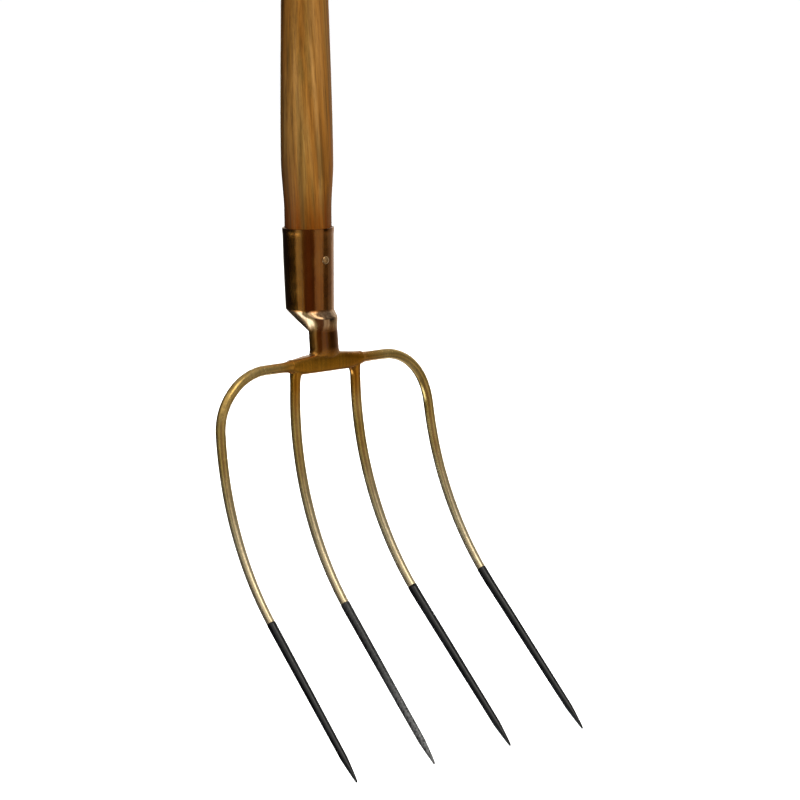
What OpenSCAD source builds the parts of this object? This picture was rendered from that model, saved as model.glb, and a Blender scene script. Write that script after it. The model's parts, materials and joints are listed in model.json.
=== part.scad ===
// Four-tine fork on a long wooden shaft.
// Frame: +Z up the shaft, -Y is the side that the tines curve towards, X runs across the head.
// Origin: on the shaft's axis, at the middle of its straight grip.

/* [Handle] */
// Diameter of the straight grip
grip_d = 34; // [30:0.5:38]
// Length of the straight grip
grip_length = 1000; // [600:10:1200]
// Diameter of the swell above the socket
swell_d = 39.8; // [39:0.2:44]
// Length over which the swell thins down to the grip
taper_length = 200; // [120:10:300]
// Length over which the shaft rises from the socket's mouth to the swell
swell_rise = 38; // [20:1:60]
// Straight stretch of shaft just above the socket's mouth
collar_length = 12; // [4:1:20]
// Height of the rounded end of the shaft
end_round = 9; // [4:1:14]

/* [Socket] */
// Length of the rolled socket
socket_length = 62; // [50:1:90]
// Outer diameter at the mouth
mouth_d = 39.6; // [39.2:0.2:44]
// Outer diameter at the base
base_d = 38; // [36:0.2:39]
// Thickness of the socket's sheet
socket_wall = 1.7; // [1.2:0.1:2.5]
// Width of the open seam down the back
seam_gap = 1.2; // [0.6:0.1:3]

/* [Nail] */
// Distance of the nail below the socket's mouth
nail_drop = 24; // [12:1:36]
// Diameter of the nail's domed head
nail_head_d = 6.5; // [6:0.5:10]
// Diameter of the nail's shank
nail_shank_d = 4; // [3:0.5:5]
// Length of the nail under its head
nail_length = 30; // [20:1:34]

/* [Neck and bridge] */
// Height from the bridge's centre line to the socket's base
neck_height = 40; // [36:1:70]
// How far the neck and the bridge stand forward of the shaft's axis
neck_forward = 17.4; // [12:0.1:24]
// Width of the neck across the head
neck_width = 24; // [18:0.5:30]
// Depth of the neck, front to back
neck_depth = 17; // [12:0.5:22]
// Height of the neck's slim column, from the bridge's centre line to where it widens
waist_height = 24; // [18:1:30]
// Length of the bridge across the head
bridge_length = 70; // [70:1:80]
// Height of the bridge
bridge_height = 14; // [11:0.5:18]
// Depth of the bridge, front to back
bridge_depth = 12.5; // [10:0.5:16]

/* [Tines] */
// Vertical drop from the bridge's centre line to the points
tine_drop = 277; // [240:1:320]
// Straight stretch below the bridge, before the bend starts
bend_start = 20; // [10:1:40]
// Radius of the forward bend
bend_radius = 228; // [180:1:300]
// Angle of the points from the shaft's axis
bend_angle = 44; // [30:1:50]
// Distance of the inner tines from the middle, at the bridge
inner_x = 29.9; // [24:0.1:30]
// Outward lean of the inner tines
inner_lean = 1.8; // [0:0.1:4]
// Distance of the outer tines from the middle, below the shoulder
shoulder_x = 105; // [98:1:120]
// Radius of the shoulder bend
shoulder_r = 45; // [20:1:50]
// Outward lean of the outer tines
outer_lean = 2.4; // [0:0.1:4]
// Diameter of a tine at the bridge
root_d = 8; // [6.5:0.1:9]
// Diameter of a tine just before its point
end_d = 4.6; // [3:0.1:6]
// Length of the sharpened point
point_length = 20; // [8:1:30]

/* [Dip coat] */
// Depth of the dip line below the bridge's centre line, in the middle of the head
dip_depth = 173; // [120:1:220]
// How much lower the dip line is at the left outer tine than in the middle
dip_tilt = 4.5; // [0:0.5:10]
// Thickness of the black dip coat
dip_thickness = 0.25; // [0.15:0.05:0.5]

/* [Hidden] */

LEFT = -1;
RIGHT = 1;

lacquer = [0.55, 0.40, 0.14];
wood = [0.58, 0.38, 0.16];
black = [0.05, 0.05, 0.05];
steel = [0.62, 0.56, 0.46];

// Levels along the shaft's axis
grip_top_z = grip_length / 2;
grip_base_z = -grip_length / 2;
swell_z = grip_base_z - taper_length;
collar_z = swell_z - swell_rise;
mouth_z = collar_z - collar_length;
base_z = mouth_z - socket_length;
bridge_z = base_z - neck_height;
nail_z = mouth_z - nail_drop;

mouth_r = mouth_d / 2;
base_r = base_d / 2;
fit_gap = 0.05;
turn_fn = 96;
hole_fn = 48;
// How far a cutting shape reaches past what it cuts
overcut = 1;

tine_sides = 16;
tine_oval = 1.08;
tip_r = 0.45;
fillet_r = 1.1;
fillet_length = 7;
// A tine stays thick for most of its length, and its point is a little fuller than a cone
taper_ease = 1.7;
point_ease = 0.7;
body_sides = 32;
// Exponents of the superellipse sections: 2 is an ellipse, and a higher one is squarer
round_section = 2;
neck_section = 2.4;
bridge_section = 5;
bridge_end_section = 2.6;
// The bridge's ends are a little larger than the arms that leave them
arm_d = root_d + 2 * fillet_r;
arm_margin = 0.2;
bridge_end_height = arm_d + 2 * arm_margin;
bridge_end_depth = arm_d * tine_oval + arm_margin;
// The neck's foot spreads along the bridge, and stays inside its depth
neck_foot_flare = 2.5;
neck_foot_inset = 1.7;
neck_foot_depth = bridge_depth - neck_foot_inset;
neck_foot_height = 5;
// The column stands this much further forward at the bridge than at its top
neck_lean = 1.9;
// The shoulder's front steps out and its sides draw in sooner than its back, and its front swells
front_lead = 2.4;
side_ease = 1.6;
back_ease = 1.45;
front_swell = 1.5;

// ---- Curves ----

function smooth(t) = let (u = min(max(t, 0), 1)) u * u * (3 - 2 * u);
function mix(a, b, t) = a + (b - a) * t;
function unit(v) = v / norm(v);

// Forward offset of a tine at a depth below the bridge: straight, then an arc, then straight again
bend_end = bend_start + bend_radius * sin(bend_angle);
function bend(depth) =
    depth <= bend_start ? 0
    : depth <= bend_end ? bend_radius - sqrt(pow(bend_radius, 2) - pow(depth - bend_start, 2))
    : bend_radius * (1 - cos(bend_angle)) + (depth - bend_end) * tan(bend_angle);

function head_point(x, depth) = [x, -neck_forward - bend(depth), bridge_z - depth];

// Running length of a path at each of its points
function lengths(path, i = 0, total = 0) =
    i >= len(path) ? []
    : let (run = total + (i == 0 ? 0 : norm(path[i] - path[i - 1])))
        concat([run], lengths(path, i + 1, run));

// ---- Sections and lofts ----

// One point of a superellipse with radii a and b
function section(a, b, power, angle) =
    let (c = cos(angle), s = sin(angle))
        [a * sign(c) * pow(abs(c), 2 / power), b * sign(s) * pow(abs(s), 2 / power)];

function tangent(path, i) = unit(path[min(i + 1, len(path) - 1)] - path[max(i - 1, 0)]);

// A round ring square to the path, slightly deeper front to back than across
function tine_ring(path, i, r) =
    let (along = tangent(path, i), across = unit(cross(along, [0, -1, 0])), deep = cross(along, across))
        [for (k = [0:tine_sides - 1])
            let (p = section(r, r * tine_oval, round_section, 360 * k / tine_sides))
                path[i] + p[0] * across + p[1] * deep];

// A solid through a list of rings that all have the same number of points
module loft(rings) {
    sides = len(rings[0]);
    last = len(rings) - 1;
    walls = [
        for (i = [0:last - 1], k = [0:sides - 1])
            let (a = i * sides + k, b = i * sides + (k + 1) % sides)
                each [[a, b + sides, b], [a, a + sides, b + sides]]
    ];
    start = [for (k = [0:sides - 1]) k];
    finish = [for (k = [sides - 1:-1:0]) last * sides + k];
    polyhedron([for (ring = rings) each ring], concat([start], walls, [finish]));
}

// A hollow solid: the outer rings run down to a closed end, and the inner ones run back up to the rim
module shell(outer, inner) {
    sides = len(outer[0]);
    turn = len(outer) * sides;
    end = (len(outer) + len(inner)) * sides;

    function band(from, to) = [
        for (k = [0:sides - 1])
            let (n = (k + 1) % sides)
                each [[from + k, to + n, from + n], [from + k, to + k, to + n]]
    ];

    walls = [
        for (i = [0:len(outer) + len(inner) - 2])
            if (i != len(outer) - 1) each band(i * sides, (i + 1) * sides)
    ];
    outer_end = [for (k = [sides - 1:-1:0]) turn - sides + k];
    inner_end = [for (k = [0:sides - 1]) turn + k];
    polyhedron([for (ring = concat(outer, inner)) each ring],
        concat(walls, band(end - sides, 0), [outer_end, inner_end]));
}

// ---- Handle ----

// The shaft's radius at a height: a taper into the socket, a swell, and the straight grip
function shaft_r(z) =
    z <= mouth_z ? mix(base_r, mouth_r, (z - base_z) / socket_length) - socket_wall - fit_gap
    : z <= swell_z ? mix(mouth_r - socket_wall - fit_gap, swell_d / 2, smooth((z - collar_z) / swell_rise))
    : mix(swell_d / 2, grip_d / 2, smooth((z - swell_z) / taper_length));

module handle() {
    rise_steps = 8;
    taper_steps = 20;
    end_steps = 8;
    seat_z = base_z + fit_gap;
    levels = concat(
        [seat_z, mouth_z, collar_z],
        [for (i = [1:rise_steps]) collar_z + swell_rise * i / rise_steps],
        [for (i = [1:taper_steps]) swell_z + taper_length * i / taper_steps]
    );
    end_r = grip_d / 2 - end_round;
    round_end = [
        for (i = [0:end_steps])
            let (a = 90 * i / end_steps)
                [end_r + end_round * cos(a), grip_top_z + end_round * sin(a)]
    ];
    color(wood) difference() {
        rotate_extrude($fn = turn_fn)
            polygon(concat([[0, seat_z]], [for (z = levels) [shaft_r(z), z]], round_end,
                [[0, grip_top_z + end_round]]));
        nail_way(nail_shank_d / 2, -mouth_r + nail_length);
    }
}

// ---- Socket and nail ----

// The nail's way in, from outside the front of the socket to a place on the Y axis
module nail_way(r, to_y) {
    outside = -mouth_r - 2 * overcut;
    translate([0, outside, nail_z]) rotate([-90, 0, 0])
        cylinder(r = r, h = to_y - outside, $fn = hole_fn);
}

module socket() {
    // The mouth has a low rolled lip: a slanted edge, a flat band, and a hollow under it
    lip = 0.4;
    lip_edge = 1;
    lip_band = 2.5;
    lip_height = 5;
    under_lip = 0.1;
    inner = [[base_r - socket_wall, base_z], [mouth_r - socket_wall, mouth_z]];
    outer = [[mouth_r, mouth_z], [mouth_r + lip, mouth_z - lip_edge], [mouth_r + lip, mouth_z - lip_band],
        [mouth_r - under_lip, mouth_z - lip_height], [base_r, base_z]];
    color(lacquer) difference() {
        rotate_extrude($fn = turn_fn) polygon(concat(inner, outer));
        nail_way(nail_shank_d / 2 + fit_gap, 0);
        translate([-seam_gap / 2, 0, base_z - overcut])
            cube([seam_gap, mouth_d, socket_length + 2 * overcut]);
    }
}

module nail() {
    head_height = 2.2;
    head_fn = 64;
    head_r = nail_head_d / 2;
    shank_r = nail_shank_d / 2;
    point_height = 3;
    point_r = 0.4;
    dome_r = (head_r * head_r + head_height * head_height) / (2 * head_height);
    face_y = -mix(base_r, mouth_r, (nail_z - base_z) / socket_length);
    color(steel) translate([0, face_y, nail_z]) rotate([90, 0, 0]) {
        intersection() {
            translate([0, 0, head_height - dome_r]) sphere(r = dome_r, $fn = head_fn);
            cylinder(r = head_r, h = head_height, $fn = head_fn);
        }
        translate([0, 0, point_height - nail_length])
            cylinder(r = shank_r, h = nail_length - point_height, $fn = hole_fn);
        translate([0, 0, -nail_length])
            cylinder(r1 = point_r, r2 = shank_r, h = point_height, $fn = hole_fn);
    }
}

// ---- Neck and bridge ----

// One level ring of the neck: a foot on the bridge, a slim column, and a shoulder out to the socket.
// The shoulder's back runs down almost straight, and its front steps out sooner.
function neck_ring(z) =
    let (
        foot = 1 - smooth((z - bridge_z - bridge_height / 2) / neck_foot_height),
        down = min((base_z - z) / (neck_height - waist_height), 1),
        forward = neck_forward - neck_lean * min((z - bridge_z) / waist_height, 1),
        half_depth = mix(neck_depth, neck_foot_depth, foot) / 2,
        back = mix(base_r, half_depth - forward, pow(down, back_ease)),
        swell = front_swell * 4 * down * (1 - down),
        front = mix(base_r, half_depth + forward, smooth(down * front_lead)) + swell,
        a = mix(base_r, neck_width / 2, 1 - pow(1 - down, side_ease)) + neck_foot_flare * foot,
        b = (back + front) / 2,
        power = mix(round_section, neck_section, down)
    )
        [for (k = [0:body_sides - 1])
            let (p = section(a, b, power, 360 * k / body_sides)) [p[0], p[1] + (back - front) / 2, z]];

module neck() {
    steps = 24;
    foot_z = bridge_z + bridge_height / 2;
    color(lacquer) loft([for (i = [0:steps]) neck_ring(mix(foot_z, base_z, i / steps))]);
}

// One upright ring of the bridge: its top slopes off towards the ends, and its bottom stays level as
// far as the inner tines reach
function bridge_ring(x) =
    let (
        half = bridge_length / 2,
        tine_edge = inner_x + root_d / 2,
        slope = smooth((abs(x) - neck_width / 2) / (half - neck_width / 2)),
        corner = smooth((abs(x) - tine_edge) / (half - tine_edge)),
        top = mix(bridge_height, bridge_end_height, slope) / 2,
        bottom = mix(bridge_height, bridge_end_height, corner) / 2,
        deep = mix(bridge_depth, bridge_end_depth, slope) / 2,
        power = mix(bridge_section, bridge_end_section, corner)
    )
        [for (k = [0:body_sides - 1])
            let (p = section(deep, 1, power, 360 * k / body_sides))
                [x, p[0] - neck_forward, bridge_z + p[1] * (p[1] > 0 ? top : bottom)]];

module bridge() {
    steps = 20;
    half = bridge_length / 2;
    tine_edge = inner_x + root_d / 2;
    corner = [tine_edge + (half - tine_edge) / 2, half];
    stations = concat(
        [for (i = [1:-1:0]) -corner[i]],
        [for (i = [0:steps]) mix(-tine_edge, tine_edge, i / steps)],
        corner
    );
    color(lacquer) loft([for (x = stations) bridge_ring(x)]);
}

// ---- Tines and their dip coats ----

// A tine's centre line, on the side (-1 or 1)
function inner_path(side) =
    let (steps = 30, top = bridge_height / 2)
        [for (i = [0:steps])
            let (depth = mix(top, tine_drop, i / steps))
                head_point(side * (inner_x + depth * tan(inner_lean)), depth)];

function outer_path(side) =
    let (
        arc_steps = 12,
        drop_steps = 26,
        bend_x = shoulder_x - shoulder_r,
        arc_depth = shoulder_r * (1 - sin(outer_lean)),
        arc_x = bend_x + shoulder_r * cos(outer_lean)
    )
        concat(
            [for (share = [0, 0.5]) head_point(side * mix(bridge_length / 2, bend_x, share), 0)],
            [for (i = [0:arc_steps])
                let (a = mix(90, outer_lean, i / arc_steps))
                    head_point(side * (bend_x + shoulder_r * cos(a)), shoulder_r * (1 - sin(a)))],
            [for (i = [1:drop_steps])
                let (depth = mix(arc_depth, tine_drop, i / drop_steps))
                    head_point(side * (arc_x + (depth - arc_depth) * tan(outer_lean)), depth)]
        );

// A tine's radius at a run along it: a fillet at the bridge, a slow taper, and the point
function tine_r(run, total) =
    let (
        body = mix(root_d, end_d, pow(run / total, taper_ease)) / 2,
        fillet = fillet_r * pow(max(1 - run / fillet_length, 0), 2),
        left = min((total - run) / point_length, 1)
    )
        mix(tip_r, body, pow(left, point_ease)) + fillet;

// The point's extra rings, so that it stays slim and sharp
function with_point(path) =
    let (
        last = len(path) - 1,
        tip = path[last],
        back = unit(path[last - 1] - tip),
        spare = 1,
        shares = [1, 0.75, 0.5, 0.3, 0.12, 0]
    )
        concat(
            [for (i = [0:last]) if (norm(path[i] - tip) > point_length + spare) path[i]],
            [for (s = shares) tip + back * point_length * s]
        );

module swept_tine(path) {
    full = with_point(path);
    runs = lengths(full);
    total = runs[len(runs) - 1];
    loft([for (i = [0:len(full) - 1]) tine_ring(full, i, tine_r(runs[i], total))]);
}

// The coat is one closed shell: its outer rings, its nose past the tine's point, and inner rings that
// lie on the tine
module dip_coat(path, side_x) {
    full = with_point(path);
    runs = lengths(full);
    last = len(full) - 1;
    total = runs[last];
    line_z = bridge_z - dip_depth + dip_tilt * side_x / shoulder_x;
    first = [for (i = [0:last]) if (full[i][2] < line_z) i][0];
    share = (line_z - full[first - 1][2]) / (full[first][2] - full[first - 1][2]);
    nose = 0.6;
    nose_shift = nose * tangent(full, last);

    function ring(i, extra) = tine_ring(full, i, tine_r(runs[i], total) + extra);
    function rim(extra) = mix(ring(first - 1, extra), ring(first, extra), share);

    outer = concat([rim(dip_thickness)], [for (i = [first:last]) ring(i, dip_thickness)],
        [[for (p = ring(last, dip_thickness)) p + nose_shift]]);
    inner = concat([for (i = [last:-1:first]) ring(i, 0)], [rim(0)]);
    color(black) shell(outer, inner);
}

module tine(path) {
    color(lacquer) swept_tine(path);
}

handle();
socket();
nail();
neck();
bridge();
tine(outer_path(LEFT));  // tine_outer_left
tine(inner_path(LEFT));  // tine_inner_left
tine(inner_path(RIGHT));  // tine_inner_right
tine(outer_path(RIGHT));  // tine_outer_right
dip_coat(outer_path(LEFT), -shoulder_x);  // dip_coat_outer_left
dip_coat(inner_path(LEFT), -inner_x);  // dip_coat_inner_left
dip_coat(inner_path(RIGHT), inner_x);  // dip_coat_inner_right
dip_coat(outer_path(RIGHT), shoulder_x);  // dip_coat_outer_right
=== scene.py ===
"""Four-tine fork: the looks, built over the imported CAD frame.

Metres, +Z up the shaft, -Y the tines' side. Each piece repeats the CAD's rule for its shape and adds a
hand-made surface that goes inwards, so that nothing leaves the CAD's box.
"""

import json
import math

import bpy
from mathutils import Matrix, Vector, noise


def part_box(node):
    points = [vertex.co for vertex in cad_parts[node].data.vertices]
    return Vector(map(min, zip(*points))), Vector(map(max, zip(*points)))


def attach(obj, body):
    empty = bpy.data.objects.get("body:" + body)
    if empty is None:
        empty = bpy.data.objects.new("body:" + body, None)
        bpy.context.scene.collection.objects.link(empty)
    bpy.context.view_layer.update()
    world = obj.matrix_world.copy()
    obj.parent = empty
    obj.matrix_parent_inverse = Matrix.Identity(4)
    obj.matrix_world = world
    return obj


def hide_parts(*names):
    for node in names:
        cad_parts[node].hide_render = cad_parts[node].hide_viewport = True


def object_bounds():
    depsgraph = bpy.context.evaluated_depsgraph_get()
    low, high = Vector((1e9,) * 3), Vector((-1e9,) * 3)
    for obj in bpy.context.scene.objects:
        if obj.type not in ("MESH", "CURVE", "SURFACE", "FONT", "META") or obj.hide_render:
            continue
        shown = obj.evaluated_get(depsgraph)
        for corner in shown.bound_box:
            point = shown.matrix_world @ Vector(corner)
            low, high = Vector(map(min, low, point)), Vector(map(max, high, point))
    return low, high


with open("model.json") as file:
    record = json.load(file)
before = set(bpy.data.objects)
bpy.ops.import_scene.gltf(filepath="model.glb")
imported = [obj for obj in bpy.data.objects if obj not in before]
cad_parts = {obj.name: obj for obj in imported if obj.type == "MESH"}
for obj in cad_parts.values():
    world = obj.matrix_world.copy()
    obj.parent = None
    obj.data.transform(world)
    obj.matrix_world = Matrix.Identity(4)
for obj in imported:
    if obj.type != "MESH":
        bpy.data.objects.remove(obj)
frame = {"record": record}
cad_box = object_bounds()
scene = bpy.context.scene

# ---------------------------------------------------------------- sizes, read from the CAD nodes

MM = 0.001
bridge_lo, bridge_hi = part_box("bridge")
socket_lo, socket_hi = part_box("socket")
nail_lo, nail_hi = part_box("nail")
BRIDGE = (bridge_lo + bridge_hi) / 2
BRIDGE_HALF = (bridge_hi - bridge_lo) / 2
BASE_Z, MOUTH_Z = socket_lo.z, socket_hi.z
SOCKET_LENGTH = MOUTH_Z - BASE_Z
GRIP = next(m for m in frame["record"]["mounts"] if m["name"] == "grip")
GRIP_R = GRIP["dims"]["r_mm"] * MM
GRIP_HALF = GRIP["dims"]["length_mm"] * MM / 2
END_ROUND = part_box("handle")[1].z - GRIP_HALF
DROP = BRIDGE.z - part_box("tine_inner_left")[0].z

# ---------------------------------------------------------------- values that the CAD source has too

SWELL_R, SWELL_RISE, TAPER = 19.9 * MM, 38 * MM, 200 * MM
MOUTH_R, BASE_R, WALL = 19.8 * MM, 19.0 * MM, 1.7 * MM
SEAM_GAP, FIT_GAP = 1.2 * MM, 0.05 * MM
NAIL_HEAD, SHANK_R = 2.2 * MM, 2 * MM
NECK_W, NECK_D, NECK_LEAN, WAIST = 24 * MM, 17 * MM, 1.9 * MM, 24 * MM
FRONT_LEAD, FRONT_SWELL, SIDE_EASE, BACK_EASE = 2.4, 1.5 * MM, 1.6, 1.45
BEND_START, BEND_R, BEND_ANGLE = 20 * MM, 228 * MM, math.radians(44)
INNER_X, INNER_LEAN = 29.9 * MM, math.radians(1.8)
SHOULDER_X, SHOULDER_R, OUTER_LEAN = 105 * MM, 45 * MM, math.radians(2.4)
ROOT_R, END_R, TIP_R, POINT = 4 * MM, 2.3 * MM, 0.45 * MM, 20 * MM
TAPER_EASE, POINT_EASE, OVAL = 1.7, 0.7, 1.08
COAT = 0.25 * MM


def mix(a, b, t):
    return a + (b - a) * t


def clamp(t, lo=0.0, hi=1.0):
    return max(lo, min(hi, t))


def smooth(t):
    t = clamp(t)
    return t * t * (3 - 2 * t)


# ---------------------------------------------------------------- mesh helpers


def new_object(name, verts, faces, material, node):
    """A smooth-shaded piece that stands in for one CAD node."""
    mesh = bpy.data.meshes.new(name)
    mesh.from_pydata([tuple(v) for v in verts], [], faces)
    mesh.validate()
    mesh.polygons.foreach_set("use_smooth", [True] * len(mesh.polygons))
    mesh.update()
    obj = bpy.data.objects.new(name, mesh)
    scene.collection.objects.link(obj)
    mesh.materials.append(material)
    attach(obj, "root")
    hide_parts(node)
    return obj


def keep_edges(obj):
    """Leaves the piece's real edges sharp in its smooth shading."""
    obj.data.set_sharp_from_angle(angle=math.radians(40))


def rings_mesh(rings, cap_start=True):
    """Vertices and faces of a tube through rings of equal length. Its end is closed."""
    sides = len(rings[0])
    verts = [p for ring in rings for p in ring]
    faces = []
    for i in range(len(rings) - 1):
        a, b = i * sides, (i + 1) * sides
        for k in range(sides):
            n = (k + 1) % sides
            faces.append((a + k, a + n, b + n, b + k))
    if cap_start:
        faces.append(tuple(reversed(range(sides))))
    faces.append(tuple(range(len(verts) - sides, len(verts))))
    return verts, faces


def around(sides):
    """The angles of a ring's points."""
    return [math.tau * k / sides for k in range(sides)]


def superellipse(a, b, power, angle):
    c, s = math.cos(angle), math.sin(angle)
    return (
        a * math.copysign(abs(c) ** (2 / power), c),
        b * math.copysign(abs(s) ** (2 / power), s),
    )


def unevenness(p, scale, seed):
    """Smooth noise of about 0 to 1 at a place, the same in every run."""
    return 0.5 + 0.5 * noise.noise(Vector(p) * scale + Vector((seed, seed * 1.7, -seed)))


def curve(start, knee, end, t):
    """A point of the quadratic curve from start to end that knee pulls on."""
    return start * (1 - t) ** 2 + knee * 2 * t * (1 - t) + end * t * t


# ---------------------------------------------------------------- materials

# Level directions along which the materials' colours change, painted shade and highlights among them
RIGHT = (1.0, 0.0, 0.0)
LEFT_SIDE = (-0.95, 0.30, 0.0)
BACK_LEFT = (-0.74, 0.67, 0.0)
FRONT_RIGHT = (0.74, -0.67, 0.0)


class Nodes:
    """A small builder for node materials."""

    def __init__(self, name):
        self.material = bpy.data.materials.new(name)
        self.material.use_nodes = True
        self.tree = self.material.node_tree
        self.tree.nodes.clear()
        out = self.tree.nodes.new("ShaderNodeOutputMaterial")
        self.bsdf = self.tree.nodes.new("ShaderNodeBsdfPrincipled")
        self.link(self.bsdf.outputs[0], out.inputs[0])
        self.place = self.tree.nodes.new("ShaderNodeTexCoord").outputs["Object"]

    def link(self, source, target):
        self.tree.links.new(source, target)

    def plug(self, value, socket):
        """Links another node's output, or sets a number or a colour."""
        if hasattr(value, "links"):
            self.link(value, socket)
        elif hasattr(value, "__len__") and len(value) < len(socket.default_value):
            socket.default_value = (*value, 1)
        else:
            socket.default_value = value

    def surface(self, **values):
        """Sets the shader's inputs by name, with _ for a space."""
        for key, value in values.items():
            self.plug(value, self.bsdf.inputs[key.replace("_", " ")])

    def scaled(self, scale, turn=None):
        """The place, turned and then stretched."""
        place = self.place
        if turn:
            turned = self.tree.nodes.new("ShaderNodeMapping")
            self.link(place, turned.inputs["Vector"])
            turned.inputs["Rotation"].default_value = turn
            place = turned.outputs[0]
        node = self.tree.nodes.new("ShaderNodeMapping")
        self.link(place, node.inputs["Vector"])
        node.inputs["Scale"].default_value = scale
        return node.outputs[0]

    def noise(self, scale, detail, rough, place=None, warp=0.0):
        node = self.tree.nodes.new("ShaderNodeTexNoise")
        self.link(place or self.place, node.inputs["Vector"])
        node.inputs["Scale"].default_value = scale
        node.inputs["Detail"].default_value = detail
        node.inputs["Roughness"].default_value = rough
        node.inputs["Distortion"].default_value = warp
        return node.outputs["Fac"]

    def stretched(self, scale, detail, rough, warp=0.0, turn=None):
        """Noise with its own scale along each axis."""
        return self.noise(1.0, detail, rough, self.scaled(scale, turn), warp)

    def ramp(self, fac, *stops):
        node = self.tree.nodes.new("ShaderNodeValToRGB")
        self.link(fac, node.inputs[0])
        elements = node.color_ramp.elements
        while len(elements) < len(stops):
            elements.new(0.5)
        for element, (at, color) in zip(elements, stops):
            element.position = at
            value = (color,) * 3 if isinstance(color, (int, float)) else tuple(color)
            element.color = (*value, 1)
        return node.outputs[0]

    def span(self, fac, lo, hi, to_lo=0.0, to_hi=1.0):
        """Rises smoothly from to_lo to to_hi as fac goes from lo to hi."""
        node = self.tree.nodes.new("ShaderNodeMapRange")
        node.interpolation_type = "SMOOTHSTEP"
        self.link(fac, node.inputs["Value"])
        node.inputs["From Min"].default_value = lo
        node.inputs["From Max"].default_value = hi
        node.inputs["To Min"].default_value = to_lo
        node.inputs["To Max"].default_value = to_hi
        return node.outputs[0]

    def fall(self, fac, lo, hi):
        """1 below lo, falling smoothly to 0 at hi."""
        return self.span(fac, lo, hi, 1.0, 0.0)

    def height(self):
        node = self.tree.nodes.new("ShaderNodeSeparateXYZ")
        self.link(self.place, node.inputs[0])
        return node.outputs["Z"]

    def toward(self, direction):
        """How far a place lies along a direction, in metres."""
        node = self.tree.nodes.new("ShaderNodeVectorMath")
        node.operation = "DOT_PRODUCT"
        self.link(self.place, node.inputs[0])
        node.inputs[1].default_value = direction
        return node.outputs["Value"]

    def blend(self, fac, a, b, mode="MIX"):
        node = self.tree.nodes.new("ShaderNodeMix")
        node.data_type = "RGBA"
        node.blend_type = mode
        for index, value in ((0, fac), (6, a), (7, b)):
            self.plug(value, node.inputs[index])
        return node.outputs[2]

    def tint(self, fac, color, by):
        """The colour multiplied by another, where fac is 1."""
        return self.blend(fac, color, self.blend(1.0, color, by, "MULTIPLY"))

    def layer(self, fac, color, pattern, *stops):
        """The colour darkened and lightened by a pattern's ramp."""
        return self.blend(fac, color, self.ramp(pattern, *stops), "MULTIPLY")

    def math(self, kind, a, b=0.0):
        node = self.tree.nodes.new("ShaderNodeMath")
        node.operation = kind
        self.plug(a, node.inputs[0])
        self.plug(b, node.inputs[1])
        return node.outputs[0]

    def times(self, a, b):
        return self.math("MULTIPLY", a, b)

    def bump(self, height, distance, strength, under=None):
        node = self.tree.nodes.new("ShaderNodeBump")
        self.link(height, node.inputs["Height"])
        node.inputs["Distance"].default_value = distance
        node.inputs["Strength"].default_value = strength
        if under is not None:
            self.link(under, node.inputs["Normal"])
        return node.outputs[0]


def wood_material():
    m = Nodes("ash_wood")
    # The grain runs out of the shaft at a few degrees, so its streaks lean
    lean = (0.0, math.radians(3.2), math.radians(25))
    broad = m.stretched((110, 110, 4.5), 3, 0.5, 0.4, lean)
    streak = m.stretched((340, 340, 11), 4, 0.62, 0.25, lean)
    fine = m.stretched((900, 900, 17), 4, 0.7, 0.0, lean)
    pores = m.stretched((2100, 2100, 60), 2, 0.6, 0.0, lean)
    bands = m.span(m.stretched((75, 75, 2.5), 2, 0.5, 0.3, lean), 0.50, 0.62)
    patches = m.span(m.stretched((95, 95, 7), 3, 0.5, 0.3, lean), 0.52, 0.60)

    brown, amber, straw = (0.215, 0.092, 0.013), (0.305, 0.143, 0.029), (0.385, 0.197, 0.055)
    color = m.ramp(broad, (0.32, brown), (0.48, amber), (0.64, straw))
    # A few bands, a centimetre or so wide, are more orange
    color = m.tint(m.times(bands, 0.55), color, (1.02, 0.80, 0.42))
    color = m.layer(0.85, color, streak, (0.33, 0.58), (0.50, 1.0), (0.68, 1.32))
    color = m.layer(0.65, color, fine, (0.32, 0.60), (0.50, 1.0), (0.70, 1.28))
    color = m.layer(0.5, color, pores, (0.33, 0.5), (0.43, 1.0))
    # Others are duller and a little green
    color = m.tint(m.times(patches, 0.6), color, (0.72, 0.86, 0.95))

    # Darker and redder where the shaft enters the socket, and for longer down one side
    high = m.height()
    low = m.fall(high, MOUTH_Z + 2 * MM, MOUTH_Z + 34 * MM)
    ragged = m.times(low, m.span(streak, 0.30, 0.70, 0.55, 1.15))
    color = m.tint(ragged, color, (0.60, 0.42, 0.18))
    side = m.span(m.toward(LEFT_SIDE), 6 * MM, 21 * MM)
    side_darkening = m.times(side, m.span(high, MOUTH_Z + 10 * MM, MOUTH_Z + 75 * MM, 0.9, 0.0))
    color = m.tint(side_darkening, color, (0.66, 0.46, 0.34))
    # A warmer strip down the front's right, and painted shade down the back's left
    warm = m.times(m.span(m.toward(FRONT_RIGHT), 4 * MM, 13 * MM), m.span(broad, 0.35, 0.65, 1.0, 0.55))
    color = m.tint(warm, color, (0.88, 0.71, 0.44))
    painted_left_shade = m.times(m.span(m.toward(BACK_LEFT), 9 * MM, 19 * MM), m.span(broad, 0.3, 0.7, 0.9, 0.5))
    color = m.tint(painted_left_shade, color, (0.50, 0.44, 0.34))

    wavy = m.bump(broad, 0.6 * MM, 0.4)
    fibres = m.bump(fine, 0.2 * MM, 0.5, wavy)
    m.surface(Base_Color=color, Roughness=m.span(streak, 0.3, 0.7, 0.48, 0.62), Specular_IOR_Level=0.25)
    m.surface(Normal=m.bump(pores, 0.12 * MM, 0.5, fibres))
    return m.material


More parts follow.
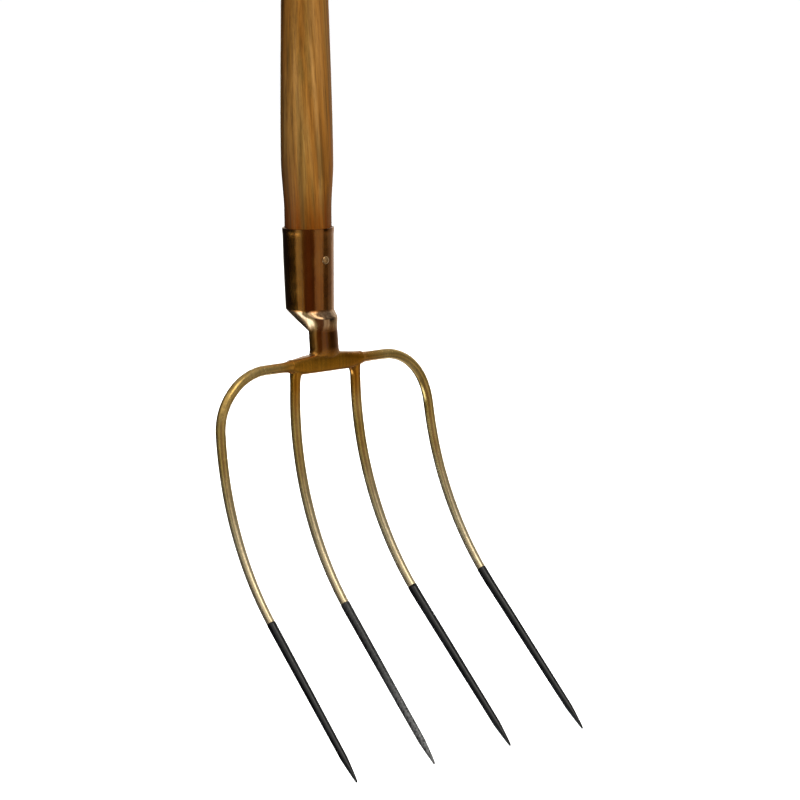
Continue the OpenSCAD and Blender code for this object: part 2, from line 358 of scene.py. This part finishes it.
def lacquer_material():
    m = Nodes("lacquered_steel")
    cloud = m.noise(38.0, 4, 0.6, warp=0.4)
    drawn = m.stretched((520, 520, 14), 4, 0.65)
    speck = m.noise(900.0, 2, 0.5)
    high = m.height()

    def clouded(dark, middle, light):
        return m.ramp(cloud, (0.30, dark), (0.50, middle), (0.70, light))

    # Red-brown round the socket and neck, orange on the bridge, olive down the tines; the bridge's orange is
    # made brighter as a painted reflection
    head = clouded((0.27, 0.080, 0.007), (0.34, 0.118, 0.013), (0.38, 0.155, 0.026))
    bar = clouded((0.42, 0.160, 0.006), (0.48, 0.205, 0.010), (0.54, 0.260, 0.024))
    tine = clouded((0.40, 0.245, 0.055), (0.50, 0.325, 0.095), (0.60, 0.420, 0.160))
    color = m.blend(m.fall(high, BRIDGE.z - 2 * MM, BRIDGE.z + 14 * MM), head, bar)
    outwards = m.math("ABSOLUTE", m.toward(RIGHT))
    on_arm = m.span(outwards, BRIDGE_HALF.x - 6 * MM, BRIDGE_HALF.x + 30 * MM)
    below = m.fall(high, BRIDGE.z - 50 * MM, BRIDGE.z - 10 * MM)
    on_tine = m.math("MAXIMUM", on_arm, below)
    color = m.blend(on_tine, color, tine)

    # Painted highlight: the shoulder under the socket is lightened towards bare steel
    on_shoulder = m.times(
        m.span(high, BASE_Z - 17 * MM, BASE_Z - 10 * MM), m.fall(high, BASE_Z - 2 * MM, BASE_Z)
    )
    painted_shoulder_highlight = m.times(on_shoulder, m.span(drawn, 0.3, 0.6, 0.35, 0.70))
    color = m.blend(painted_shoulder_highlight, color, (0.55, 0.38, 0.22))
    # Painted shade: the neck under it is darker on its right
    on_neck = m.times(
        m.fall(high, BASE_Z - 17 * MM, BASE_Z - 11 * MM), m.span(high, BRIDGE.z + 4 * MM, BRIDGE.z + 14 * MM)
    )
    dark = m.times(on_neck, m.span(m.toward(FRONT_RIGHT), 4 * MM, 11 * MM))
    color = m.tint(dark, color, (0.66, 0.57, 0.32))
    color = m.layer(0.6, color, drawn, (0.32, 0.58), (0.52, 1.0), (0.75, 1.2))
    # Painted reflection: the colour pales towards the dip line, standing in for the bright light above
    pale = m.fall(high, BRIDGE.z - 140 * MM, BRIDGE.z - 50 * MM)
    painted_pale_reflection = m.times(pale, m.span(drawn, 0.3, 0.7, 0.75, 1.0))
    color = m.blend(painted_pale_reflection, color, (0.62, 0.51, 0.33))

    # It is thicker and duller on the tines and the bridge than on the head
    bar_metal = m.span(high, BRIDGE.z, BRIDGE.z + 12 * MM, 0.75, 1.0)
    metal = m.math("MINIMUM", m.span(on_tine, 0, 1, 1.0, 0.88), bar_metal)
    dull = m.math("MAXIMUM", m.span(on_tine, 0, 1, 0.0, 0.02), m.times(on_neck, 0.08))
    rough = m.math("ADD", m.span(cloud, 0.3, 0.7, 0.17, 0.26), dull)
    coat = m.span(high, BRIDGE.z, BRIDGE.z + 14 * MM, 0.2, 0.5)
    forged = m.bump(m.noise(120.0, 3, 0.5), 0.8 * MM, 0.35)
    scratched = m.bump(drawn, 0.15 * MM, 0.35, forged)
    m.surface(Base_Color=color, Metallic=metal, Roughness=rough)
    m.surface(Coat_Weight=coat, Coat_Roughness=0.10, Coat_IOR=1.5)
    m.surface(Normal=m.bump(speck, 0.06 * MM, 0.3, scratched))
    return m.material


def black_material():
    m = Nodes("black_dip")
    cloud = m.noise(60.0, 3, 0.6)
    peel = m.noise(700.0, 2, 0.5)
    color = m.ramp(cloud, (0.3, (0.0020, 0.0020, 0.0024)), (0.7, (0.006, 0.006, 0.007)))
    # Painted highlight: the inner left tine's coat is greyed along its middle
    across = m.toward(RIGHT)
    inner_left = m.times(m.span(across, -50 * MM, -46 * MM), m.fall(across, -10 * MM, -6 * MM))
    along = m.span(m.height(), BRIDGE.z - 265 * MM, BRIDGE.z - 200 * MM, 1.0, 0.15)
    painted_grey_highlight = m.span(m.stretched((700, 700, 160), 4, 0.7), 0.36, 0.58)
    color = m.blend(m.times(m.times(inner_left, along), painted_grey_highlight), color, (0.13, 0.13, 0.13))
    runs = m.bump(m.stretched((260, 260, 60), 3, 0.5), 0.4 * MM, 0.5)
    m.surface(Base_Color=color, Roughness=m.span(cloud, 0.3, 0.7, 0.18, 0.32), Specular_IOR_Level=0.42)
    m.surface(Normal=m.bump(peel, 0.08 * MM, 0.4, runs))
    return m.material


def nail_material():
    m = Nodes("nail_steel")
    cloud = m.noise(420.0, 3, 0.6)
    color = m.ramp(cloud, (0.3, (0.33, 0.18, 0.065)), (0.7, (0.48, 0.30, 0.14)))
    m.surface(Base_Color=color, Metallic=0.75, Roughness=m.span(cloud, 0.3, 0.7, 0.22, 0.34))
    m.surface(Normal=m.bump(m.noise(1500.0, 2, 0.5), 0.1 * MM, 0.4))
    return m.material


WOOD, LACQUER, BLACK, NAIL = wood_material(), lacquer_material(), black_material(), nail_material()


# ---------------------------------------------------------------- handle


def shaft_r(z):
    """The shaft's nominal radius: a taper in the socket, a collar, a swell, and the straight grip."""
    swell_z = -GRIP_HALF - TAPER
    collar_z = swell_z - SWELL_RISE
    if z <= MOUTH_Z:
        return mix(BASE_R, MOUTH_R, (z - BASE_Z) / SOCKET_LENGTH) - WALL - FIT_GAP
    if z <= swell_z:
        return mix(MOUTH_R - WALL - FIT_GAP, SWELL_R, smooth((z - collar_z) / SWELL_RISE))
    return mix(SWELL_R, GRIP_R, smooth((z - swell_z) / TAPER))


def make_handle():
    sides, step, end_steps = 96, 4 * MM, 10
    out_of_round = 0.12 * MM
    levels = [BASE_Z + FIT_GAP]
    while levels[-1] < GRIP_HALF - step:
        levels.append(levels[-1] + step)
    rings = []
    for z in levels:
        ring = []
        for a in around(sides):
            c, s = math.cos(a), math.sin(a)
            # A turned shaft is a little out of round, and only ever under its nominal size
            r = shaft_r(z) - out_of_round * unevenness((c * 0.8, s * 0.8, z * 9), 1.0, 3.1)
            ring.append((r * c, r * s, z))
        rings.append(ring)
    for i in range(end_steps + 1):
        turn = math.pi / 2 * i / end_steps
        r = GRIP_R - END_ROUND + END_ROUND * math.cos(turn)
        z = GRIP_HALF + END_ROUND * math.sin(turn)
        rings.append([(r * math.cos(a), r * math.sin(a), z) for a in around(sides)])
    verts, faces = rings_mesh(rings)
    new_object("shaft", verts, faces, WOOD, "handle")


# ---------------------------------------------------------------- socket and nail


def socket_profile():
    """The sheet's section in (radius, height): up its outside to the lip, and from its rim down inside."""
    lip_height, under_lip, rim = 5 * MM, 0.1 * MM, 0.6 * MM
    outside = []
    for t in [i / 22 for i in range(23)]:
        outside.append((mix(BASE_R, MOUTH_R - under_lip, t), BASE_Z + t * (SOCKET_LENGTH - lip_height)))
    # Points on the lip and the rim, in millimetres out from the mouth's radius and down from the mouth
    lip, edge = ((0.11, 3.6), (0.2, 2.4), (0.2, 0.9)), ((-0.05, 0.2), (-0.4, 0.0))
    outside += [(MOUTH_R + out * MM, MOUTH_Z - down * MM) for out, down in lip]
    inside = [(MOUTH_R + out * MM, MOUTH_Z - down * MM) for out, down in edge]
    inside += [(MOUTH_R - WALL + 0.35 * MM, MOUTH_Z - 0.1 * MM), (MOUTH_R - WALL, MOUTH_Z - rim)]
    for t in (0.33, 0.66, 1.0):
        inside.append((mix(MOUTH_R, BASE_R, t) - WALL, MOUTH_Z - rim - t * (SOCKET_LENGTH - rim)))
    return outside, inside


def drawn_in(angle):
    """How far the sheet is pulled in at the base, on the back's left side, where it meets the neck."""
    return 0.9 * MM * max(0.0, math.cos(angle - math.radians(138))) ** 1.5


def make_socket():
    steps = 150
    seam_half = SEAM_GAP / 2 / BASE_R
    dent, seam_dip = 0.22 * MM, 0.25 * MM
    # The seam's dip spreads over a few steps, and all unevenness fades out just above the base
    seam_steps, fade = 5.0, 9 * MM
    outside, inside = socket_profile()
    rings = []
    for i in range(steps + 1):
        a = math.pi / 2 + seam_half + (math.tau - 2 * seam_half) * i / steps
        c, s = math.cos(a), math.sin(a)
        seam = math.exp(-((min(i, steps - i) / seam_steps) ** 2))
        ring = []
        for r, z in outside:
            # Rolled over a former by hand: shallow flats, only ever inwards
            flats = dent * unevenness((c * 1.1, s * 1.1, z * 26), 1.0, 8.4)
            r -= (flats + seam_dip * seam) * smooth((z - BASE_Z) / fade)
            r -= drawn_in(a) * clamp((MOUTH_Z - z) / SOCKET_LENGTH) ** 2
            ring.append((r * c, r * s, z))
        rings.append(ring + [(r * c, r * s, z) for r, z in inside])
    verts, faces = rings_mesh(rings)
    keep_edges(new_object("rolled_socket", verts, faces, LACQUER, "socket"))


def make_nail():
    sides, steps = 40, 10
    head_r = (nail_hi.x - nail_lo.x) / 2
    z0 = (nail_lo.z + nail_hi.z) / 2
    # The head is lower than the CAD's, and its underside lies a little below the sheet's nominal face
    height, dome, sunk = 1.6 * MM, 0.86, 0.1 * MM
    face = nail_lo.y + NAIL_HEAD + sunk
    tip = face - height
    point_r, point = 0.3 * MM, 3 * MM
    profile = []
    for i in range(steps + 1):
        a = math.pi / 2 * i / steps
        profile.append((max(head_r * math.sin(a), 0.15 * MM), tip + height * (1 - math.cos(a)) * dome))
    profile += [(head_r * 0.985, face - 0.1 * MM), (SHANK_R, face + 0.05 * MM)]
    profile += [(SHANK_R, nail_hi.y - point), (point_r, nail_hi.y)]
    rings = []
    for r, y in profile:
        ring = []
        for a in around(sides):
            c, s = math.cos(a), math.sin(a)
            w = r * (1 - 0.05 * unevenness((c, s, r * 90), 1.3, 2.0))
            ring.append((w * c, y, z0 + w * s))
        rings.append(ring)
    verts, faces = rings_mesh(rings)
    new_object("nail_head", verts, faces, NAIL, "nail")


# ---------------------------------------------------------------- neck and bridge


def bridge_shape(x):
    """Top, bottom, half depth and squareness of the bridge at a place across the head."""
    arm_height, arm_depth = 5.2 * MM, 5.5 * MM
    square, rounded = 4.2, 2.1
    half = BRIDGE_HALF.x
    edge = INNER_X + ROOT_R
    slope = smooth((abs(x) - NECK_W / 2) / (half - NECK_W / 2))
    corner = smooth((abs(x) - edge + 2.5 * MM) / (half - edge + 1.5 * MM))
    top = mix(BRIDGE_HALF.z, arm_height, slope)
    bottom = mix(BRIDGE_HALF.z, arm_height, corner)
    return top, bottom, mix(BRIDGE_HALF.y, arm_depth, slope), mix(square, rounded, max(corner, slope**2))


def bridge_surface(x, y, up):
    """Height of the bridge's top (up) or bottom at a place."""
    top, bottom, deep, power = bridge_shape(x)
    t = clamp(abs(y - BRIDGE.y) / deep, 0, 0.985)
    fall = (1 - t**power) ** (1 / power)
    return BRIDGE.z + (top * fall if up else -bottom * fall)


def make_bridge():
    sides, steps, hammered = 48, 44, 0.03
    half = BRIDGE_HALF.x
    rings = []
    for i in range(steps + 1):
        x = half * math.sin(math.pi / 2 * (2 * i / steps - 1))
        top, bottom, deep, power = bridge_shape(x)
        ring = []
        for a in around(sides):
            p, q = superellipse(deep, 1, power, a)
            z = q * (top if q > 0 else bottom)
            # Uneven by a tenth of a millimetre or two, except at its two ends
            r = 1 - hammered * unevenness((x, p, z), 110.0, 5.5) * (1 - (x / half) ** 4)
            ring.append((x, BRIDGE.y + p * r, BRIDGE.z + z * r))
        rings.append(ring)
    verts, faces = rings_mesh(rings)
    new_object("forged_bridge", verts, faces, LACQUER, "bridge")


def neck_section(z):
    """Half width, half depth, centre Y and squareness of the neck at a height."""
    down = clamp((BASE_Z - z) / (BASE_Z - BRIDGE.z - WAIST))
    forward = -BRIDGE.y - NECK_LEAN * clamp((z - BRIDGE.z) / WAIST)
    half_depth = NECK_D / 2
    back = mix(BASE_R, half_depth - forward, down**BACK_EASE)
    front = mix(BASE_R, half_depth + forward, smooth(down * FRONT_LEAD)) + FRONT_SWELL * 4 * down * (1 - down)
    half_width = mix(BASE_R, NECK_W / 2, 1 - (1 - down) ** SIDE_EASE)
    return half_width, (back + front) / 2, (back - front) / 2, mix(2.0, 2.4, down)


def make_neck():
    sides, steps, foot_steps, hammered = 64, 34, 8, 0.012
    fillet, foot_spread, foot_depth, sunk = 4.5 * MM, 3.2 * MM, 6.1 * MM, 0.35 * MM
    start = BRIDGE.z + BRIDGE_HALF.z + fillet
    half_width, half_depth, y0, power = neck_section(start)
    rings = []
    # The foot flares out onto the bridge in a quarter round
    for i in range(foot_steps):
        ring = []
        for a in around(sides):
            p, q = superellipse(half_width, half_depth, power, a)
            wide_p, wide_q = superellipse(half_width + foot_spread, foot_depth, power, a)
            foot = Vector((wide_p, BRIDGE.y + wide_q, 0))
            foot.z = bridge_surface(foot.x, foot.y, True) - sunk
            y, wide_y = y0 + q, BRIDGE.y + wide_q
            knee = Vector((mix(p, wide_p, 0.12), mix(y, wide_y, 0.25), mix(foot.z, start, 0.18)))
            ring.append(curve(foot, knee, Vector((p, y, start)), i / foot_steps))
        rings.append(ring)
    for i in range(steps + 1):
        up = i / steps
        z = mix(start, BASE_Z, up)
        half_width, half_depth, y, power = neck_section(z)
        ring = []
        for a in around(sides):
            p, q = superellipse(half_width, half_depth, power, a)
            w = 1 - hammered * unevenness((p, q, z), 95.0, 1.2) * (1 - up**3)
            w -= drawn_in(a) / BASE_R * up**2
            ring.append(Vector((p * w, y + q * w, z)))
        rings.append(ring)
    verts, faces = rings_mesh(rings)
    keep_edges(new_object("forged_neck", verts, faces, LACQUER, "neck"))


# ---------------------------------------------------------------- tines and dip coats


def bend(depth):
    """How far a tine has come forward at a depth below the bridge: straight, an arc, straight again."""
    end = BEND_START + BEND_R * math.sin(BEND_ANGLE)
    if depth <= BEND_START:
        return 0.0
    if depth <= end:
        return BEND_R - math.sqrt(BEND_R**2 - (depth - BEND_START) ** 2)
    return BEND_R * (1 - math.cos(BEND_ANGLE)) + (depth - end) * math.tan(BEND_ANGLE)


def head_point(x, depth):
    return Vector((x, BRIDGE.y - bend(depth), BRIDGE.z - depth))


def inner_line(side):
    steps = 120
    depths = [mix(BRIDGE_HALF.z, DROP, i / steps) for i in range(steps + 1)]
    return [head_point(side * (INNER_X + depth * math.tan(INNER_LEAN)), depth) for depth in depths]


def outer_line(side):
    arm_steps, arc_steps, drop_steps = 12, 30, 100
    bend_x = SHOULDER_X - SHOULDER_R
    arc_depth = SHOULDER_R * (1 - math.sin(OUTER_LEAN))
    arc_x = bend_x + SHOULDER_R * math.cos(OUTER_LEAN)
    line = [head_point(side * mix(BRIDGE_HALF.x, bend_x, i / arm_steps), 0) for i in range(arm_steps)]
    for i in range(arc_steps + 1):
        a = mix(math.pi / 2, OUTER_LEAN, i / arc_steps)
        line.append(head_point(side * (bend_x + SHOULDER_R * math.cos(a)), SHOULDER_R * (1 - math.sin(a))))
    for i in range(1, drop_steps + 1):
        depth = mix(arc_depth, DROP, i / drop_steps)
        line.append(head_point(side * (arc_x + (depth - arc_depth) * math.tan(OUTER_LEAN)), depth))
    return line


def tine_path(side, outer):
    """The tine's centre line at an even spacing, closer at the point; its running lengths; its total."""
    step = 2.5 * MM
    point_shares = (1, 0.9, 0.8, 0.7, 0.6, 0.5, 0.4, 0.3, 0.2, 0.12, 0.06, 0.02, 0)
    line = outer_line(side) if outer else inner_line(side)
    runs = [0.0]
    for a, b in zip(line, line[1:]):
        runs.append(runs[-1] + (b - a).length)
    total = runs[-1]
    at = [step * i for i in range(int((total - POINT) / step))]
    at += [total - POINT * share for share in point_shares]
    path, j = [], 0
    for run in at:
        while j < len(runs) - 2 and runs[j + 1] < run:
            j += 1
        path.append(line[j].lerp(line[j + 1], clamp((run - runs[j]) / (runs[j + 1] - runs[j]))))
    return path, at, total


def tine_r(run, total):
    body = mix(ROOT_R, END_R, (run / total) ** TAPER_EASE)
    left = min((total - run) / POINT, 1)
    return mix(TIP_R, body, left**POINT_EASE)


TINE_SIDES = 32


def tine_ring(path, i, r, seed, run):
    hammered = 0.045
    along = (path[min(i + 1, len(path) - 1)] - path[max(i - 1, 0)]).normalized()
    across = along.cross(Vector((0, -1, 0))).normalized()
    deep = along.cross(across)
    ring = []
    for a in around(TINE_SIDES):
        c, s = math.cos(a), math.sin(a)
        # Hammered round: slow flats along the bar, only ever inwards
        w = r * (1 - hammered * unevenness((c * 0.9, s * 0.9, run * 28), 1.0, seed))
        ring.append(path[i] + across * (w * c) + deep * (w * OVAL * s))
    return ring


def make_tine(name, side, outer, seed):
    path, at, total = tine_path(side, outer)
    rings = [tine_ring(path, i, tine_r(run, total), seed, run) for i, run in enumerate(at)]
    # The root flares out onto the bridge: all round on an arm, and on the inner side of an inner tine
    flare, steps = (4 if outer else 3), 8
    root, centre = rings[flare], path[flare]
    made = []
    for i in range(steps):
        ring = []
        for p in root:
            out = p - centre
            if outer:
                foot = path[0] + Vector((-side * 0.4 * MM, out.y * 1.25, out.z * 1.28))
                knee = Vector((mix(path[0].x, p.x, 0.35), p.y, p.z))
            else:
                inward = 1.55 if out.x * side < 0 else 1.0
                foot = path[0] + Vector((out.x * inward, out.y * 1.2, 0))
                foot.z = bridge_surface(foot.x, foot.y, False) + 0.5 * MM
                knee = Vector((p.x, p.y, mix(foot.z, p.z, 0.3)))
            ring.append(curve(foot, knee, p, i / steps))
        made.append(ring)
    verts, faces = rings_mesh(made + rings[flare:])
    label = name.replace("tine_", "")
    new_object(f"tine_bar_{label}", verts, faces, LACQUER, name)


def make_coat(name, side, outer, seed):
    """The paint's skin: a rounded edge at the dip line, and a bead where it ran off the point."""
    edge_lifts, edge_step = (-0.15, 0.45, 0.85), 0.12 * MM
    skin, tip_skin = 0.97 * COAT, 0.9 * COAT
    line_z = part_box(name)[1].z
    path, at, total = tine_path(side, outer)
    # The edge starts a little under the CAD's dip line, between two places of the path
    first = next(i for i, p in enumerate(path) if p.z < line_z - 1.2 * MM)
    above, below = path[first - 1], path[first]
    share = (above.z - (line_z - 1.6 * MM)) / (above.z - below.z)
    runs = [mix(at[first - 1], at[first], share)] + at[first:]
    line = [above.lerp(below, share)] + path[first:]
    along = (line[1] - line[0]).normalized()
    rings = []
    for step, lift in enumerate(edge_lifts):
        ring = tine_ring(line, 0, tine_r(runs[0], total) + COAT * lift, seed, runs[0])
        rings.append([p + along * (edge_step * step) for p in ring])
    for i in range(1, len(line)):
        extra = skin if i < len(line) - 1 else tip_skin
        rings.append(tine_ring(line, i, tine_r(runs[i], total) + extra, seed, runs[i]))
    last, along = rings[-1], (line[-1] - line[-2]).normalized()
    for out, size in ((0.25, 0.85), (0.45, 0.5), (0.52, 0.15)):
        rings.append([line[-1] + along * (out * MM) + (p - line[-1]) * size for p in last])
    verts, faces = rings_mesh(rings, cap_start=False)
    label = name.replace("dip_coat_", "")
    new_object(f"dip_skin_{label}", verts, faces, BLACK, name)


make_handle()
make_socket()
make_nail()
make_bridge()
make_neck()
for word, outer in (("outer", True), ("inner", False)):
    for hand, side in (("left", -1), ("right", 1)):
        seed = 4.0 + side * 1.3 + (7.0 if outer else 0.0)
        make_tine(f"tine_{word}_{hand}", side, outer, seed)
        make_coat(f"dip_coat_{word}_{hand}", side, outer, seed)


# ---------------------------------------------------------------- stage, light and camera

# The photo's camera: where it looks from and at, and its lens for a full-frame sensor
AIM = Vector((93.2 * MM, 1.3 * MM, BRIDGE.z - 41.7 * MM))
AZIMUTH, ELEVATION, ROLL, DISTANCE = math.radians(-42.19), math.radians(8.8), math.radians(-0.67), 2.957
SENSOR, LENS = 36.0, 170.325


def make_floor():
    size, gap = 30.0, 0.5 * MM
    z = cad_box[0].z - gap
    mesh = bpy.data.meshes.new("floor")
    corners = [(-size, -size, z), (size, -size, z), (size, size, z), (-size, size, z)]
    mesh.from_pydata(corners, [], [(0, 1, 2, 3)])
    obj = bpy.data.objects.new("floor", mesh)
    scene.collection.objects.link(obj)
    m = Nodes("pale_floor")
    m.surface(Base_Color=m.ramp(m.noise(3.0, 2, 0.5), (0.3, 0.88), (0.7, 0.90)), Roughness=0.9)
    m.surface(Specular_IOR_Level=0.1)
    mesh.materials.append(m.material)
    obj.visible_glossy = False
    obj.visible_diffuse = False


def facing(azimuth, elevation):
    """The direction to a place seen from the shaft: azimuth from the front, elevation from level."""
    level = math.cos(elevation)
    return Vector((math.sin(azimuth) * level, -math.cos(azimuth) * level, math.sin(elevation)))


class World:
    """What the metal sees: a dark room with soft cards at angles measured from the camera's side."""

    def __init__(self):
        world = bpy.data.worlds.new("studio")
        scene.world = world
        world.use_nodes = True
        self.tree = world.node_tree
        self.tree.nodes.clear()
        self.way = self.tree.nodes.new("ShaderNodeTexCoord").outputs["Generated"]
        self.total = None

    def link(self, source, target):
        self.tree.links.new(source, target)

    def math(self, kind, a, b=None):
        node = self.tree.nodes.new("ShaderNodeMath")
        node.operation = kind
        self.link(a, node.inputs[0])
        if b is not None:
            self.link(b, node.inputs[1])
        return node.outputs[0]

    def along(self, direction):
        node = self.tree.nodes.new("ShaderNodeVectorMath")
        node.operation = "DOT_PRODUCT"
        self.link(self.way, node.inputs[0])
        node.inputs[1].default_value = direction
        return node.outputs["Value"]

    def inside(self, angle, half, soft):
        """1 within half an angle of zero, falling softly to 0."""
        node = self.tree.nodes.new("ShaderNodeMapRange")
        node.interpolation_type = "SMOOTHSTEP"
        self.link(self.math("ABSOLUTE", angle), node.inputs["Value"])
        node.inputs["From Min"].default_value = math.radians(half - soft / 2)
        node.inputs["From Max"].default_value = math.radians(half + soft / 2)
        node.inputs["To Min"].default_value = 1.0
        node.inputs["To Max"].default_value = 0.0
        return node.outputs[0]

    def add(self, mask, color):
        node = self.tree.nodes.new("ShaderNodeVectorMath")
        node.operation = "MULTIPLY_ADD"
        self.link(mask, node.inputs[0])
        node.inputs[1].default_value = color
        if self.total is not None:
            self.link(self.total, node.inputs[2])
        self.total = node.outputs[0]

    def card(self, azimuth, elevation, half_width, half_height, soft, color):
        """A soft-edged card of light; its angles are in degrees."""
        turn = AZIMUTH + math.radians(azimuth)
        centre = facing(turn, math.radians(elevation))
        across = Vector((math.cos(turn), math.sin(turn), 0))
        sideways = self.math("ARCTAN2", self.along(across), self.along(centre))
        upward = self.math("ARCSINE", self.along(centre.cross(across)))
        wide, high = self.inside(sideways, half_width, soft), self.inside(upward, half_height, soft)
        self.add(self.math("MULTIPLY", wide, high), color)

    def ramp(self, *stops):
        """Brightness by height, from straight down (-1) to straight up (1)."""
        span = self.tree.nodes.new("ShaderNodeMapRange")
        self.link(self.along((0, 0, 1)), span.inputs["Value"])
        span.inputs["From Min"].default_value = -1
        ramp = self.tree.nodes.new("ShaderNodeValToRGB")
        self.link(span.outputs[0], ramp.inputs[0])
        while len(ramp.color_ramp.elements) < len(stops):
            ramp.color_ramp.elements.new(0.5)
        for element, (up, value) in zip(ramp.color_ramp.elements, stops):
            element.position = (up + 1) / 2
            element.color = (value, value, value, 1)
        self.add(ramp.outputs[0], (1, 1, 1))

    def pick(self, ray, others, these):
        path = self.tree.nodes.new("ShaderNodeLightPath")
        node = self.tree.nodes.new("ShaderNodeMixShader")
        self.link(path.outputs[ray], node.inputs[0])
        self.link(others, node.inputs[1])
        self.link(these, node.inputs[2])
        return node.outputs[0]

    def white(self, strength):
        node = self.tree.nodes.new("ShaderNodeBackground")
        node.inputs["Color"].default_value = (1, 1, 1, 1)
        node.inputs["Strength"].default_value = strength
        return node.outputs[0]

    def finish(self, ambient):
        """Reflections see the cards, the camera sees white, and matt surfaces get a little even light."""
        seen = self.tree.nodes.new("ShaderNodeBackground")
        self.link(self.total, seen.inputs["Color"])
        out = self.tree.nodes.new("ShaderNodeOutputWorld")
        shown = self.pick("Is Camera Ray", self.white(ambient), self.white(1.0))
        self.link(self.pick("Is Glossy Ray", shown, seen.outputs[0]), out.inputs[0])


def make_world():
    world = World()
    world.ramp((-1, 0.45), (-0.75, 0.15), (-0.5, 0.02), (0.1, 0.015), (0.45, 0.08), (0.8, 0.22), (1, 0.35))
    # In front: left, right and middle, and two above
    world.card(-43, -8, 15, 26, 7, (0.50, 0.55, 0.42))
    world.card(50, -8, 21, 26, 8, (0.49, 0.455, 0.40))
    world.card(0, -10, 26, 26, 14, (0.14, 0.065, 0.03))
    world.card(-22, 48, 44, 19, 16, (0.90, 0.88, 0.83))
    world.card(16, 60, 13, 14, 10, (2.4, 2.3, 2.0))
    # The left side, low and bright, and two on the right side
    world.card(-68, -31, 21, 11, 8, (3.2, 3.9, 4.6))
    world.card(88, -24, 20, 14, 20, (0.25, 0.21, 0.14))
    world.card(113, -5, 12, 24, 8, (0.22, 0.21, 0.17))
    # Behind
    world.card(162, -8, 34, 42, 18, (0.75, 0.73, 0.66))
    world.card(-150, -64, 45, 11, 10, (0.75, 0.73, 0.66))
    world.finish(0.10)


def make_light(name, azimuth, elevation, distance, size, share, color=(1, 1, 1)):
    """A soft box for matt surfaces, at an angle from the camera's side; share is what white sends back."""
    light = bpy.data.lights.new(name, "AREA")
    light.shape = "SQUARE"
    light.size = size
    light.energy = share * (math.pi * distance) ** 2
    light.color = color
    obj = bpy.data.objects.new(name, light)
    scene.collection.objects.link(obj)
    to = facing(AZIMUTH + math.radians(azimuth), math.radians(elevation))
    obj.location = Vector((0, 0, BRIDGE.z + 50 * MM)) + to * distance
    obj.rotation_mode = "QUATERNION"
    obj.rotation_quaternion = (-to).to_track_quat("-Z", "Y")
    obj.visible_glossy = False
    obj.visible_camera = False


def light_the_floor():
    """A broad sun that reaches only the floor, so that it stays pale without washing out the fork."""
    sun = bpy.data.lights.new("floor_sun", "SUN")
    sun.energy = 3.3
    sun.angle = math.radians(70)
    obj = bpy.data.objects.new("floor_sun", sun)
    scene.collection.objects.link(obj)
    only = bpy.data.collections.new("floor_only")
    only.objects.link(bpy.data.objects["floor"])
    obj.light_linking.receiver_collection = only


def make_camera():
    data = bpy.data.cameras.new("camera")
    data.sensor_width = SENSOR
    data.lens = LENS
    data.clip_start, data.clip_end = 0.1, 100
    obj = bpy.data.objects.new("camera", data)
    scene.collection.objects.link(obj)
    back = facing(AZIMUTH, ELEVATION)
    right = Vector((math.cos(AZIMUTH), math.sin(AZIMUTH), 0))
    up = back.cross(right)
    right_rolled = right * math.cos(ROLL) + up * math.sin(ROLL)
    up_rolled = back.cross(right_rolled)
    turn = Matrix((right_rolled, up_rolled, back)).transposed()
    obj.matrix_world = Matrix.Translation(AIM + back * DISTANCE) @ turn.to_4x4()
    scene.camera = obj


make_floor()
make_world()
make_light("key", 12, 40, 2.6, 1.2, 1.25, (1.0, 0.98, 0.95))
make_light("back_left", -165, 45, 3.0, 1.4, 0.75)
make_light("back_right", 140, 45, 3.0, 1.4, 0.75)
light_the_floor()
make_camera()

scene.view_settings.view_transform = "Standard"
scene.view_settings.look = "None"
scene.cycles.use_denoising = True
scene.cycles.max_bounces = 8
